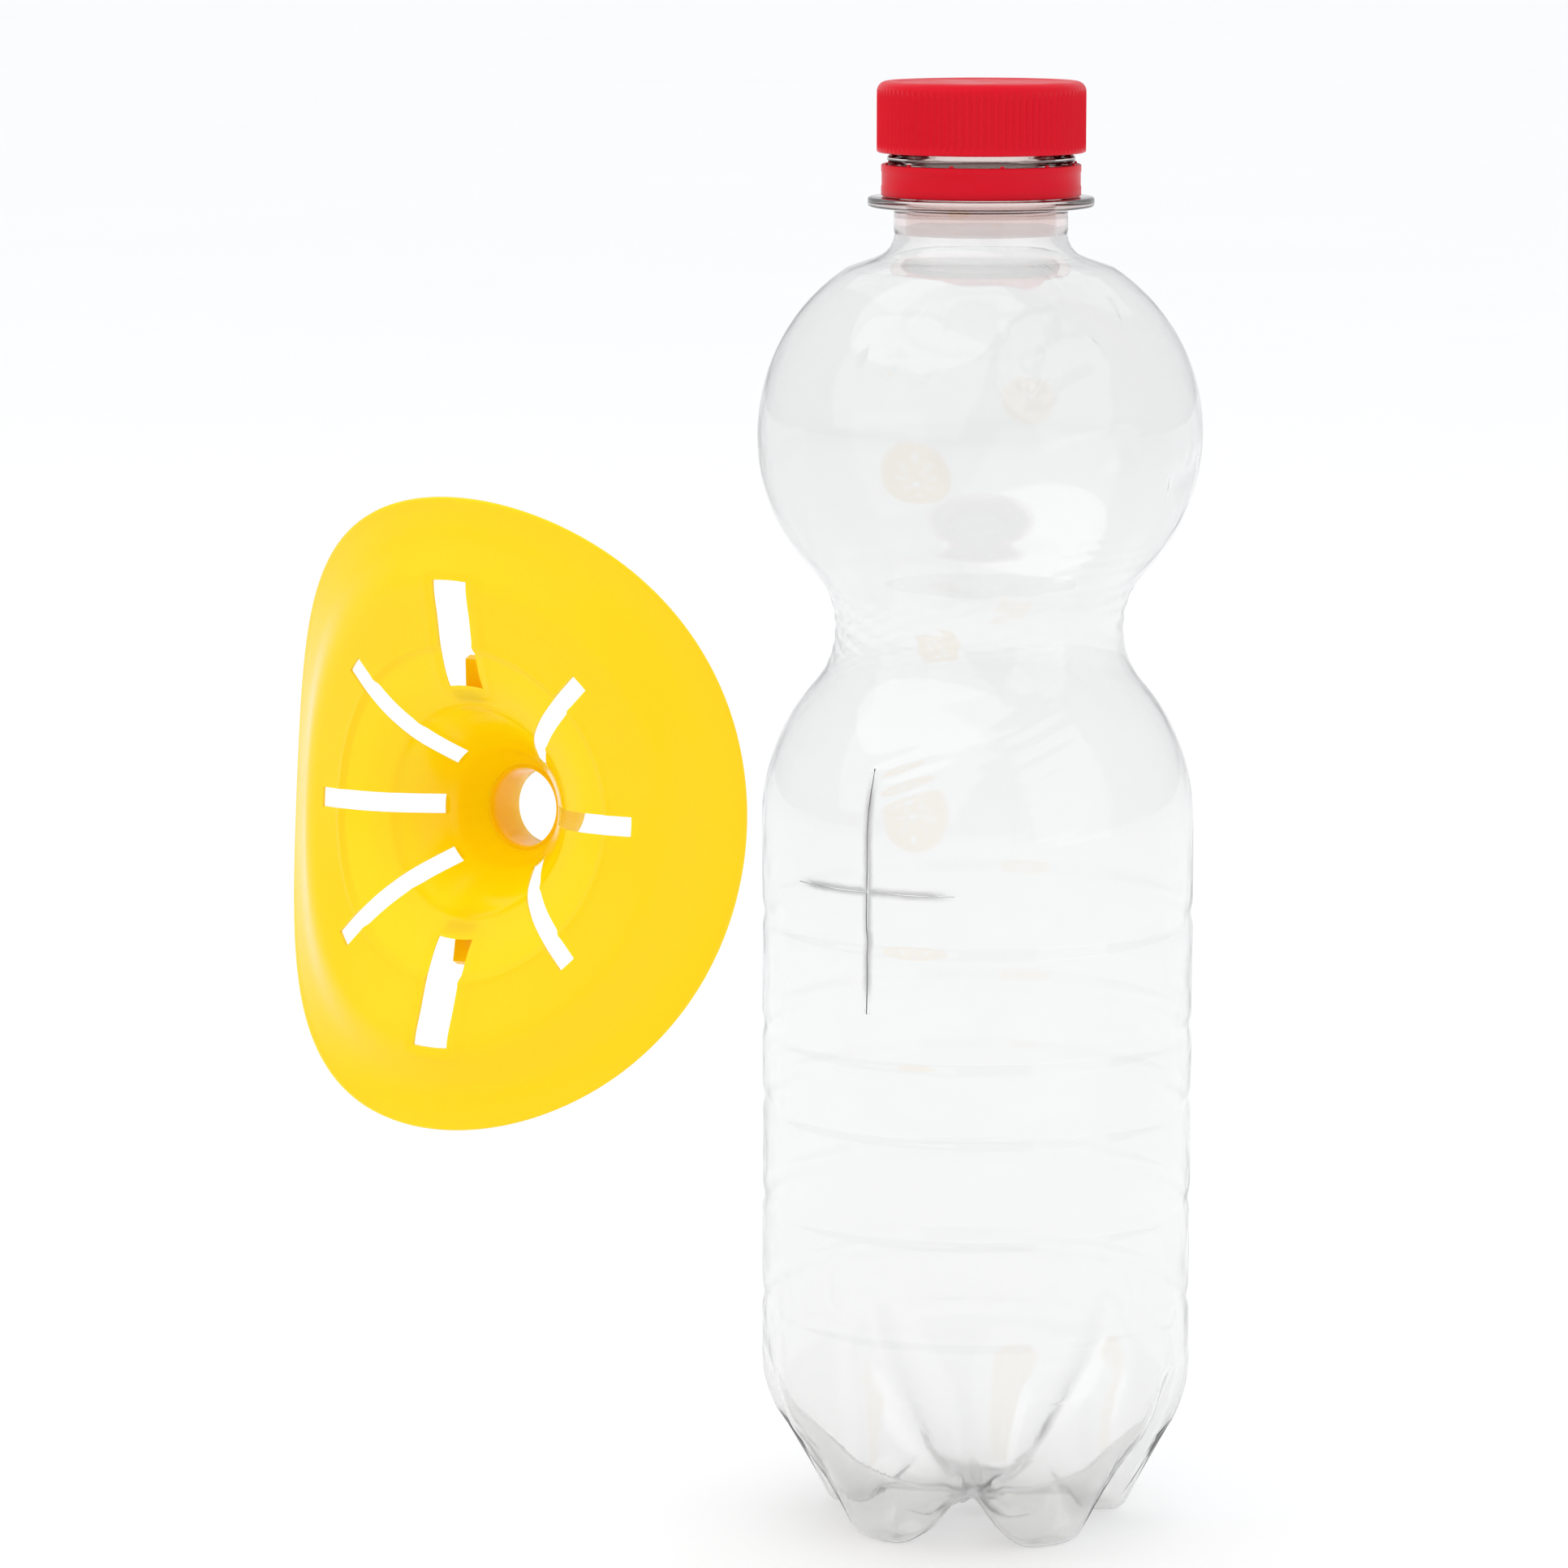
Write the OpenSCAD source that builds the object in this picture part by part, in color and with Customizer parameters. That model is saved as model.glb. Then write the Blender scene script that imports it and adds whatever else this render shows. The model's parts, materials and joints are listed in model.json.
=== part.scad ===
// Bottle wasp trap: a clear drinks bottle with a cross cut in its wall, its screw
// cap and tamper band, and the yellow funnel that is pushed nose first into the cut.
// Millimetres. The origin is the centre of the foot circle on the floor, +Z is up
// the bottle's axis, and the cut and the funnel face -Y.

/* [Bottle] */
// Radius of the straight body
body_r = 31.8; // [30:0.1:34]
// Largest radius of the round shoulder
bulge_r = 32.5; // [31.5:0.1:34]
// Smallest radius of the waist
waist_r = 21.1; // [19:0.1:23]
// Height of the waist
waist_z = 133.3; // [130:0.1:137]
// Wall thickness of the blown body
wall = 0.5; // [0.5:0.05:0.8]
// Depth of the grooves round the body
groove_depth = 0.5; // [0:0.1:0.8]
// Radius of the circle that the feet stand on
foot_circle_r = 19.4; // [18:0.1:20]

/* [Neck] */
// Outer radius of the neck under the support ring
neck_r = 12.6; // [12.3:0.1:13]
// Radius of the bore through the neck
bore_r = 10.87; // [10.5:0.01:11]
// Radius of the support ring
ring_r = 16.4; // [15.8:0.1:16.6]
// Height of the mouth above the floor
mouth_z = 208.8; // [208.7:0.1:209.2]

/* [Cross cut] */
// Height of the centre of the cut
cut_z = 98.7; // [96:0.1:100]
// Length of the upright slit
cut_h = 34.5; // [33:0.5:36]
// Width of the level slit, straight across
cut_w = 26; // [25:0.5:28]
// Width of the slits between the flaps
slit_w = 1; // [1:0.05:1.4]
// Gap left at each flap's bend line
bend_gap = 0.32; // [0.3:0.01:0.4]

/* [Cap] */
// Radius over the grip ribs
cap_r = 15.1; // [15:0.05:15.3]
// Height of the cap
cap_h = 10.2; // [10.2:0.1:10.6]
// Height of the cap's lower edge, as it stands partly unscrewed
cap_z = 202.3; // [202.2:0.05:202.4]
// Number of grip ribs
rib_count = 90; // [60:1:120]

/* [Tamper band] */
// Outer radius of the band
band_r = 14.45; // [14.2:0.05:14.6]
// Height of the band
band_h = 4.6; // [4.2:0.1:4.6]

/* [Funnel] */
// Radius of the rim, measured along the bent dish
rim_r = 40.2; // [39:0.1:41]
// Radius of the large bottle that the dish is bent to fit
bend_r = 44.5; // [43:0.5:47]
// Thickness of the moulding
funnel_wall = 0.8; // [0.7:0.05:0.9]
// Radius of the entrance hole
hole_r = 4.8; // [4.4:0.1:5]
// Length from the crest of the dish to the tip of the nose
nose_len = 25.9; // [25:0.1:26.5]
// Width of the six narrow slots
narrow_w = 2.5; // [2:0.1:3]
// Width of the slots over and under the nose
wide_w = 5.2; // [4.8:0.1:5.4]
// How far the nose points down
funnel_tilt = 5; // [4:0.5:5]

/* [Layout] */
// Distance from the bottle's axis to the crest of the waiting funnel
funnel_rest_y = 138; // [130:1:145]
// Height of the waiting funnel's axis at the crest
funnel_rest_z = 124.5; // [120:0.5:126]
// Direction of the first foot, from -Y towards +X
foot_phase = -11; // [-15:1:-8]

/* [Hidden] */
$fn = 96;
eps = 0.01;
clear_pet = [0.86, 0.9, 0.9, 0.45];
signal_red = [0.84, 0.1, 0.14];
liner_white = [0.93, 0.92, 0.9];
funnel_yellow = [1, 0.81, 0.06];

// Round shoulder, waist and lower shoulder are tangent arcs
bulge_arc = 28.6;
waist_arc = 12.5;
lower_arc = 30.5;
bulge_c = bulge_r - bulge_arc;
waist_c = waist_r + waist_arc;
lower_c = body_r - lower_arc;
bulge_dz = sqrt(pow(bulge_arc + waist_arc, 2) - pow(waist_c - bulge_c, 2));
lower_dz = sqrt(pow(lower_arc + waist_arc, 2) - pow(waist_c - lower_c, 2));
bulge_z = waist_z + bulge_dz;
lower_z = waist_z - lower_dz;
bulge_tangent = atan2(bulge_dz, bulge_c - waist_c);
lower_tangent = 360 + atan2(-lower_dz, lower_c - waist_c);

// Neck heights
crease_z = 187.7;
crease_r = 14.1;
neck_base_z = 190.6;
ring_z = 194.5;
ring_h = 1.4;
bead_z = 200.9;
bead_h = 1.1;
bead_r = 13.6;
root_r = 12.3;

// Thread: one single-start ridge on the neck and its match in the cap, half a pitch higher
pitch = 2.7;
thread_turns = 1.5;
thread_z = 203.4;
neck_crest_r = 13.45;
cap_crest_r = 12.75;
ridge_foot_w = 1.2;
ridge_crest_w = 0.6;

// Base: a dome with five valleys pressed up between the feet
base_z = 25;
base_arc = 22;
flank_angle = 26.6;
corner_r = 2.5;
inner_flank = 127;
pad_inner_r = foot_circle_r - 1.8;
pad_outer_r = foot_circle_r + 1.2;
push_up = 3.3;
dome_r = 33.1;
valley_r = 7.5;
// The valleys are cut at this angle, clear of the seam at +X, and the bottle is then turned
valley_phase = 25;
groove_w = 2.2;
groove_heights = [91.4, 74.7, 63.7, 48.9, 33.9];

function arc(cr, cz, r, a0, a1, steps) = [
    for (i = [0:steps])
        let (a = a0 + (a1 - a0) * i / steps)
        [cr + r * cos(a), cz + r * sin(a)]
];

// How far the nearest groove draws the wall in at a height
function grooves(z) =
    let (near = min([for (g = groove_heights) abs(z - g)]))
    near < groove_w ? groove_depth * (1 + cos(180 * near / groove_w)) / 2 : 0;

// The straight body's heights, closer together in the grooves
function body_heights() = concat(
    [base_z],
    [
        for (i = [len(groove_heights) - 1:-1:0], k = [-4:4])
            groove_heights[i] + k * groove_w / 4
    ],
    [lower_z]
);

// The outline of the feet, turned round as one ring, from the middle to the straight body
function foot_outline() = concat(
    [[0, push_up - 0.7], [13.3, push_up - 0.7]],
    arc(pad_inner_r, corner_r, corner_r, -inner_flank, -90, 4),
    arc(pad_outer_r, corner_r, corner_r, -90, -flank_angle, 5),
    arc(body_r - base_arc, base_z, base_arc, -flank_angle, 0, 8)
);

// The inside follows the dome and leaves the feet solid
function dome_outline(inset) =
    let (r = dome_r - inset)
    arc(0, push_up + dome_r, r, -90, -acos((body_r - inset) / r), 14);

// The blown outline from over the base to the shoulder, moved inwards by inset
function upper_outline(inset) = concat(
    [for (z = body_heights()) if (z > base_z + 3) [body_r - inset - grooves(z), z]],
    arc(lower_c, lower_z, lower_arc - inset, 4, lower_tangent - 180, 9),
    arc(waist_c, waist_z, waist_arc + inset, lower_tangent - 3, bulge_tangent + 3, 12),
    arc(bulge_c, bulge_z, bulge_arc - inset, bulge_tangent - 180, 57, 22)
);

function outer_neck() = [
    [crease_r, crease_z],
    [neck_r + 0.4, crease_z + 1.3],
    [neck_r, neck_base_z],
    [neck_r, ring_z],
    [ring_r - 0.3, ring_z],
    [ring_r, ring_z + 0.3],
    [ring_r, ring_z + ring_h - 0.3],
    [ring_r - 0.3, ring_z + ring_h],
    [root_r, ring_z + ring_h],
    [root_r, bead_z - 0.4],
    [bead_r, bead_z + 0.3],
    [bead_r, bead_z + bead_h - 0.4],
    [root_r, bead_z + bead_h + 0.4],
    [root_r, mouth_z - 0.4],
    [root_r - 0.4, mouth_z]
];

module outer_form() {
    rotate_extrude()
        polygon(concat(foot_outline(), upper_outline(0), outer_neck(), [[0, mouth_z]]));
}

module inner_form() {
    rotate_extrude()
        polygon(concat(
            dome_outline(wall),
            upper_outline(wall),
            [
                [crease_r - wall, crease_z - 0.5],
                [bore_r, neck_base_z],
                [bore_r, mouth_z + 5],
                [0, mouth_z + 5]
            ]
        ));
}

// Five round channels that follow the dome between the feet
module valleys() {
    for (i = [0:4])
        rotate([0, 0, valley_phase + 72 * i])
            translate([0, 0, push_up + dome_r])
                rotate([0, 90, 0])
                    rotate_extrude(angle = 80)
                        translate([dome_r + valley_r, 0])
                            circle(r = valley_r, $fn = 48);
}

// A helical ridge with a tapered start and end. side is 1 on a pin and -1 in a bore
function ridge_ring(steps, i, z, base_r, crest_r, side) =
    let (
        turn = 360 * thread_turns * i / steps,
        rise = min(1, 0.04 + min(i, steps - i) / 3),
        top_r = base_r + (crest_r - base_r) * rise,
        mid_z = z + pitch * turn / 360,
        foot_r = base_r - side * 0.2
    )
    [
        for (p = [
            [foot_r, -ridge_foot_w / 2],
            [top_r, -ridge_crest_w / 2],
            [top_r, ridge_crest_w / 2],
            [foot_r, ridge_foot_w / 2]
        ])
            [p[0] * cos(turn), p[0] * sin(turn), mid_z + p[1]]
    ];

module ridge(z, base_r, crest_r, side) {
    steps = round(thread_turns * 24);
    points = [for (i = [0:steps]) each ridge_ring(steps, i, z, base_r, crest_r, side)];
    loop = side > 0 ? [0, 1, 2, 3] : [3, 2, 1, 0];
    last = 4 * steps;
    sides = [
        for (i = [0:steps - 1], k = [0:3])
            let (a = 4 * i + loop[k], b = 4 * i + loop[(k + 1) % 4])
            each [[a, b, b + 4], [a, b + 4, a + 4]]
    ];
    ends = [[for (k = [3:-1:0]) loop[k]], [for (k = [0:3]) last + loop[k]]];
    polyhedron(points, concat(sides, ends));
}

// The diamond between the four ends of the cut, through the front wall
module cut_prism(corners) {
    translate([0, -20, cut_z])
        rotate([90, 0, 0])
            linear_extrude(20)
                polygon(corners);
}

module bottle() {
    half_w = cut_w / 2;
    half_h = cut_h / 2;
    turned = foot_phase - valley_phase;
    color(clear_pet)
        rotate([0, 0, turned])
            difference() {
                union() {
                    difference() {
                        outer_form();
                        valleys();
                    }
                    rotate([0, 0, -turned])
                        ridge(thread_z, root_r, neck_crest_r, 1);
                }
                inner_form();
                rotate([0, 0, -turned])
                    cut_prism([[half_w, 0], [0, half_h], [-half_w, 0], [0, -half_h]]);
            }
}

// One quarter of the diamond of wall, inset from the slits and from its bend line
module flap(side, up) {
    half_w = cut_w / 2;
    half_h = cut_h / 2;
    slit = slit_w / 2;
    slope = sqrt(half_w * half_w + half_h * half_h);
    tip_w = half_w - (slit * half_w + bend_gap * slope) / half_h;
    tip_h = half_h - (slit * half_h + bend_gap * slope) / half_w;
    color(clear_pet)
        intersection() {
            difference() {
                outer_form();
                inner_form();
            }
            cut_prism([
                [side * slit, up * slit],
                [side * tip_w, up * slit],
                [side * slit, up * tip_h]
            ]);
        }
}

module flap_upper_left() {
    flap(-1, 1);
}

module flap_upper_right() {
    flap(1, 1);
}

module flap_lower_left() {
    flap(-1, -1);
}

module flap_lower_right() {
    flap(1, -1);
}

// Cap
cap_bore_r = 13.85;
cap_top = 1.5;
rib_depth = 0.28;
liner_h = 0.75;
liner_r = 13.2;

module cap() {
    top_z = cap_z + cap_h;
    color(signal_red) {
        difference() {
            intersection() {
                translate([0, 0, cap_z])
                    linear_extrude(cap_h)
                        polygon([
                            for (i = [0:2 * rib_count - 1])
                                let (r = cap_r - (i % 2) * rib_depth, a = 180 * i / rib_count)
                                [r * cos(a), r * sin(a)]
                        ]);
                rotate_extrude()
                    polygon(concat(
                        [[0, cap_z - 1], [cap_r + 1, cap_z - 1]],
                        [[cap_r + 1, top_z - 2], [cap_r, top_z - 2]],
                        arc(cap_r - 1.3, top_z - 1.3, 1.3, 0, 90, 5),
                        [[0, top_z]]
                    ));
            }
            translate([0, 0, cap_z - 1])
                cylinder(r = cap_bore_r, h = cap_h - cap_top + 1);
        }
        ridge(thread_z + pitch / 2, cap_bore_r, cap_crest_r, -1);
    }
}

module cap_liner() {
    color(liner_white)
        translate([0, 0, cap_z + cap_h - cap_top - liner_h - 0.03])
            cylinder(r = liner_r, h = liner_h);
}

module tamper_band() {
    band_z = ring_z + ring_h + 0.1;
    color(signal_red)
        rotate_extrude()
            polygon([
                [13.1, band_z + 0.9],
                [13.5, band_z],
                [band_r - 0.25, band_z],
                [band_r, band_z + 0.25],
                [band_r, band_z + band_h - 0.2],
                [band_r - 0.2, band_z + band_h],
                [13.5, band_z + band_h],
                [13.5, band_z + 1.6]
            ]);
}

// Funnel: the dish's cross section as radius and depth behind its crest
dish = [
    [5.1, 19.4],
    [8.2, 14.1],
    [12.3, 7.9],
    [16.2, 4.5],
    [20.5, 2.4],
    [24.7, 1.2],
    [29.7, 0],
    [34.9, 0.95],
    [rim_r, 0.55]
];
slot_outer = [25.2, 29.7];
slot_inner = [8.9, 16.2];
slot_half = [narrow_w / 2, wide_w / 2];
sector_cols = 7;
rows = [39.7, 37.3, 34.9, 32.3, 29.7, 27.4, 25.2, 22.8, 20.5, 18.3, 16.2, 14.2, 12.3, 10.5, 8.9, 7, 5.1];
cols = 8 * sector_cols;
ring_pts = 2 * len(rows) + 1;

function is_wide(sector) = sector % 4 == 2 ? 1 : 0;
function slot_spread(sector, r) =
    let (w = is_wide(sector))
    asin(slot_half[w] / max(r, slot_inner[w]));
function col_angle(j, r) =
    let (
        s = floor(j / sector_cols),
        t = j % sector_cols,
        a0 = 45 * s + slot_spread(s % 8, r),
        a1 = 45 * (s + 1) - slot_spread((s + 1) % 8, r)
    )
    t == 0 ? 45 * s - slot_spread(s % 8, r) : a0 + (a1 - a0) * (t - 1) / (sector_cols - 1);
function thickness(r) =
    let (slope = (lookup(r - 0.5, dish) - lookup(r + 0.5, dish)))
    funnel_wall * sqrt(1 + slope * slope);
// A flat radius, an angle and a depth, bent round the upright axis of the large bottle
function bent(r, a, d) =
    let (turn = r * cos(a) / bend_r * 180 / PI)
    [bend_r * sin(turn), d + bend_r * (1 - cos(turn)), r * sin(a)];
function dish_point(j, k) =
    let (
        n = len(rows),
        r = k < n ? rows[k] : k < 2 * n ? rows[2 * n - 1 - k] : rim_r,
        front = lookup(r, dish),
        d = k < n ? front : k < 2 * n ? front + thickness(r) : front + funnel_wall / 2
    )
    bent(r, col_angle(j, r), d);
// True where a slot goes through between ring points k and k + 1 in a slot's own column
function in_slot(j, k) =
    let (
        n = len(rows),
        w = is_wide(floor(j / sector_cols)),
        i = k < n - 1 ? k : 2 * n - 2 - k
    )
    j % sector_cols == 0 && k != n - 1 && k < 2 * n - 1
        && rows[i] <= slot_outer[w] + eps && rows[i + 1] >= slot_inner[w] - eps;

function quad(a, b, c, d) = [[a, b, c], [a, c, d]];

module dish_body() {
    n = len(rows);
    points = [for (j = [0:cols - 1], k = [0:ring_pts - 1]) dish_point(j, k)];
    skin = [
        for (j = [0:cols - 1], k = [0:ring_pts - 1])
            let (
                a = j * ring_pts,
                b = ((j + 1) % cols) * ring_pts,
                k1 = (k + 1) % ring_pts
            )
            if (!in_slot(j, k))
                each quad(a + k, b + k, b + k1, a + k1)
    ];
    slot_walls = [
        for (s = [0:7], i = [0:n - 2])
            let (
                j = s * sector_cols,
                a = j * ring_pts,
                b = (j + 1) * ring_pts,
                m = 2 * n - 1
            )
            if (in_slot(j, i))
                each concat(
                    quad(a + i, a + i + 1, a + m - i - 1, a + m - i),
                    quad(b + i + 1, b + i, b + m - i, b + m - i - 1),
                    in_slot(j, i - 1) ? [] : quad(b + i, a + i, a + m - i, b + m - i),
                    in_slot(j, i + 1)
                        ? []
                        : quad(a + i + 1, b + i + 1, b + m - i - 1, a + m - i - 1)
                )
    ];
    polyhedron(points, concat(skin, slot_walls));
}

// Barbed clip behind the inner end of a wide slot, as height above the axis and depth
clip_w = 4.6;
clip_outline = [
    [15.6, 5.55],
    [15.8, 8.6],
    [19.4, 8.2],
    [19.9, 9.2],
    [17.6, 11.2],
    [14.6, 10.4],
    [14.2, 6.9]
];

module clip() {
    translate([-clip_w / 2, 0, 0])
        rotate([90, 0, 90])
            linear_extrude(clip_w)
                polygon(clip_outline);
}

module funnel_shape() {
    dish_body();
    translate([0, nose_len, 0])
        rotate([90, 0, 0])
            difference() {
                cylinder(r = hole_r + funnel_wall, h = nose_len - 19.2);
                translate([0, 0, -1])
                    cylinder(r = hole_r, h = nose_len);
            }
    clip();
    mirror([0, 0, 1])
        clip();
}

module funnel() {
    color(funnel_yellow)
        translate([0, -funnel_rest_y, funnel_rest_z])
            rotate([-funnel_tilt, 0, 0])
                funnel_shape();
}

bottle();
flap_upper_left();
flap_upper_right();
flap_lower_left();
flap_lower_right();
cap();
cap_liner();
tamper_band();
funnel();
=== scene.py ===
import json
import math

import bmesh
import bpy
import numpy as np
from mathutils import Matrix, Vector


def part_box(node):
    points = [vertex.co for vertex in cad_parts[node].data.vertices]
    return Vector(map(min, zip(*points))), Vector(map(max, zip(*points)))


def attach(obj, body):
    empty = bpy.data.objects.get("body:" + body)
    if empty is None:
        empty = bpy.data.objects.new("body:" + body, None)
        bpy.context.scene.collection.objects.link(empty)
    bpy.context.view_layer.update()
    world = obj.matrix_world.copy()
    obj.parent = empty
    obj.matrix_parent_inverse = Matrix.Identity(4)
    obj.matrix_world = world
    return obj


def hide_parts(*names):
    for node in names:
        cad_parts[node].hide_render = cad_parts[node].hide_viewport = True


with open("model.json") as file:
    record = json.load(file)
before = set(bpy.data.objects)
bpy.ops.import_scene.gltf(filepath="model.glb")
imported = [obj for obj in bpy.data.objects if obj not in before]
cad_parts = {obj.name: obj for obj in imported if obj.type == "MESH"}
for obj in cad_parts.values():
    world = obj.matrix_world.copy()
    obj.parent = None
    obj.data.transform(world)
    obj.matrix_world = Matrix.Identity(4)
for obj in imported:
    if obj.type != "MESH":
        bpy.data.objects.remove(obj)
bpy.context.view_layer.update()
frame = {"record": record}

MM = 0.001
# Lengths from here on are in millimetres, in the row frame: +Z up the bottle's axis and -Y out
# through the cut. Pieces are scaled to metres when their meshes are made.


def corners(node):
    low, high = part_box(node)
    return np.array(low) / MM, np.array(high) / MM


def mount(name):
    found = next(m for m in frame["record"]["mounts"] if m["name"] == name)
    return np.array(found["pos_m"]) / MM, np.array(found["axis"])


def arc(centre_r, centre_z, radius, start, end, steps):
    turns = np.radians(np.linspace(start, end, steps + 1))
    return np.column_stack([centre_r + radius * np.cos(turns), centre_z + radius * np.sin(turns)])


def smooth(low, high, value):
    t = np.clip((value - low) / (high - low), 0, 1)
    return t * t * (3 - 2 * t)


def bell(distance, width):
    return np.exp(-((distance / width) ** 2))


# ---------------------------------------------------------------- materials


class Shader:
    """One material, built as nodes around its Principled shader"""

    def __init__(self, name, **settings):
        self.material = bpy.data.materials.new(name)
        self.material.use_nodes = True
        self.tree = self.material.node_tree
        self.surface = self.tree.nodes["Principled BSDF"]
        for socket, value in settings.items():
            self.surface.inputs[socket.replace("_", " ")].default_value = value

    def node(self, kind, inputs=None, **settings):
        made = self.tree.nodes.new(kind)
        for name, value in settings.items():
            setattr(made, name, value)
        for socket, value in (inputs or {}).items():
            if isinstance(value, bpy.types.NodeSocket):
                self.tree.links.new(value, made.inputs[socket])
            else:
                made.inputs[socket].default_value = value
        return made

    def place(self):
        return self.node("ShaderNodeTexCoord").outputs["Object"]

    def stretched(self, scale):
        return self.node("ShaderNodeMapping", {"Vector": self.place(), "Scale": scale}).outputs[0]

    def noise(self, scale, detail=3.0, where=None):
        inputs = {"Vector": where or self.place(), "Scale": scale, "Detail": detail}
        return self.node("ShaderNodeTexNoise", inputs).outputs[0]

    def math(self, operation, a, b=0.0, clamp=False):
        made = self.node("ShaderNodeMath", {0: a, 1: b}, operation=operation, use_clamp=clamp)
        return made.outputs[0]

    def between(self, value, low, high, out_low=0.0, out_high=1.0):
        """value, carried smoothly from low..high to out_low..out_high"""
        inputs = {"Value": value, "From Min": low, "From Max": high}
        inputs.update({"To Min": out_low, "To Max": out_high})
        return self.node("ShaderNodeMapRange", inputs, interpolation_type="SMOOTHSTEP").outputs[0]

    def mix(self, share, first, second):
        inputs = {0: share, 6: first, 7: second}
        return self.node("ShaderNodeMix", inputs, data_type="RGBA").outputs[2]

    def feed(self, socket, value):
        self.tree.links.new(value, self.surface.inputs[socket])

    def bumps(self, *layers):
        """Adds bump from (height, strength, distance in metres) layers, one over the other"""
        normal = None
        for height, strength, distance in layers:
            inputs = {"Height": height, "Strength": strength, "Distance": distance}
            if normal is not None:
                inputs["Normal"] = normal
            normal = self.node("ShaderNodeBump", inputs).outputs[0]
        self.feed("Normal", normal)


def clear_pet():
    """Blown PET: clear, a little uneven, and dulled along the knife's two cuts, where grey lines
    of painted shade stand for the cuts' dark edges
    """
    cut, _ = mount("cross_cut")
    shader = Shader("clear_pet", Transmission_Weight=1.0, IOR=1.575)
    x, y, z = shader.node("ShaderNodeSeparateXYZ", {0: shader.place()}).outputs[:]
    height = shader.math("ABSOLUTE", shader.math("SUBTRACT", z, cut[2] * MM))
    side = shader.math("ABSOLUTE", x)
    ragged = shader.noise(420, 2.0)
    # painted shade: grey lines along the two cuts stand for their dark edges; the same lines also
    # roughen the surface
    cut_shade_and_dulling_lines = []
    for across, along, reach in ((side, height, CUT_H / 2), (height, side, CUT_W / 2)):
        wavering = shader.math("ADD", across, shader.math("MULTIPLY", ragged, 0.0004))
        line = shader.between(wavering, 0.0002, 0.0013, 1, 0)
        fade = shader.between(along, reach * 0.7 * MM, reach * 1.02 * MM, 1, 0)
        cut_shade_and_dulling_lines.append(shader.math("MULTIPLY", line, fade))
    front = shader.math("LESS_THAN", y, -0.02)
    cut_shade_and_dulling = shader.math("MULTIPLY", shader.math("MAXIMUM", *cut_shade_and_dulling_lines), front)
    haze = shader.noise(26, 4.0)
    clear = shader.mix(haze, (0.905, 0.905, 0.9, 1), (0.945, 0.945, 0.938, 1))
    # painted red light: the neck is tinted pink for the red of the cap and band in its thick PET
    neck = shader.between(z, 0.1888, 0.1942)
    clear = shader.mix(neck, clear, (0.86, 0.735, 0.71, 1))
    # the cut lines turn the colour grey, as painted shade of the cuts' edges
    shader.feed("Base Color", shader.mix(cut_shade_and_dulling, clear, (0.68, 0.68, 0.68, 1)))
    shine = shader.between(shader.noise(60, 5.0), 0.35, 0.75, 0.03, 0.085)
    dulled = shader.math("MULTIPLY", cut_shade_and_dulling, 0.4)
    shader.feed("Roughness", shader.math("ADD", shine, dulled, clamp=True))
    shader.bumps((shader.noise(95, 2.0), 0.1, 0.0006), (shader.noise(700, 2.0), 0.012, 0.0001))
    return shader.material


def bend_line():
    """Where the wall runs on from the bottle into a flap, nothing shows"""
    material = bpy.data.materials.new("bend_line")
    material.use_nodes = True
    nodes = material.node_tree.nodes
    nodes.remove(nodes["Principled BSDF"])
    clear = nodes.new("ShaderNodeBsdfTransparent")
    material.node_tree.links.new(clear.outputs[0], nodes["Material Output"].inputs["Surface"])
    return material


def red_plastic():
    shader = Shader("red_cap", Subsurface_Weight=0.06, Subsurface_Scale=0.0015)
    shader.surface.inputs["IOR"].default_value = 1.49
    shader.surface.inputs["Specular IOR Level"].default_value = 0.12
    shader.surface.inputs["Subsurface Radius"].default_value = (1.0, 0.15, 0.1)
    streaks = shader.noise(38, 4.0, shader.stretched((1, 1, 0.35)))
    deep, light = (0.60, 0.003, 0.014, 1), (0.72, 0.006, 0.022, 1)
    shader.feed("Base Color", shader.mix(streaks, deep, light))
    shader.feed("Roughness", shader.between(shader.noise(160, 5.0), 0.3, 0.8, 0.3, 0.46))
    shader.bumps((shader.noise(1500, 3.0), 0.25, 0.00005), (shader.noise(90, 2.0), 0.12, 0.0002))
    return shader.material


def liner_foam():
    shader = Shader("liner", IOR=1.45)
    deep, light = (0.72, 0.71, 0.68, 1), (0.84, 0.83, 0.81, 1)
    shader.feed("Base Color", shader.mix(shader.noise(200), deep, light))
    shader.feed("Roughness", shader.between(shader.noise(400), 0.2, 0.8, 0.5, 0.7))
    shader.bumps((shader.noise(1800, 4.0), 0.4, 0.00006),)
    return shader.material


def yellow_plastic():
    """Translucent moulded polypropylene, with faint flow lines and a fine orange peel"""
    shader = Shader("yellow_funnel", Subsurface_Weight=0.4, Subsurface_Scale=0.002)
    shader.surface.inputs["IOR"].default_value = 1.45
    shader.surface.inputs["Specular IOR Level"].default_value = 0.3
    shader.surface.inputs["Subsurface Radius"].default_value = (1.0, 0.8, 0.1)
    flow = shader.noise(24, 5.0, shader.stretched((1, 0.6, 0.45)))
    shader.feed("Base Color", shader.mix(flow, (1.0, 0.56, 0.0, 1), (1.0, 0.63, 0.002, 1)))
    shader.feed("Roughness", shader.between(shader.noise(120, 5.0), 0.3, 0.8, 0.16, 0.26))
    shader.bumps((shader.noise(48, 2.0), 0.15, 0.0006), (shader.noise(900, 2.0), 0.08, 0.00008))
    return shader.material


# ---------------------------------------------------------------- meshes


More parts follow.
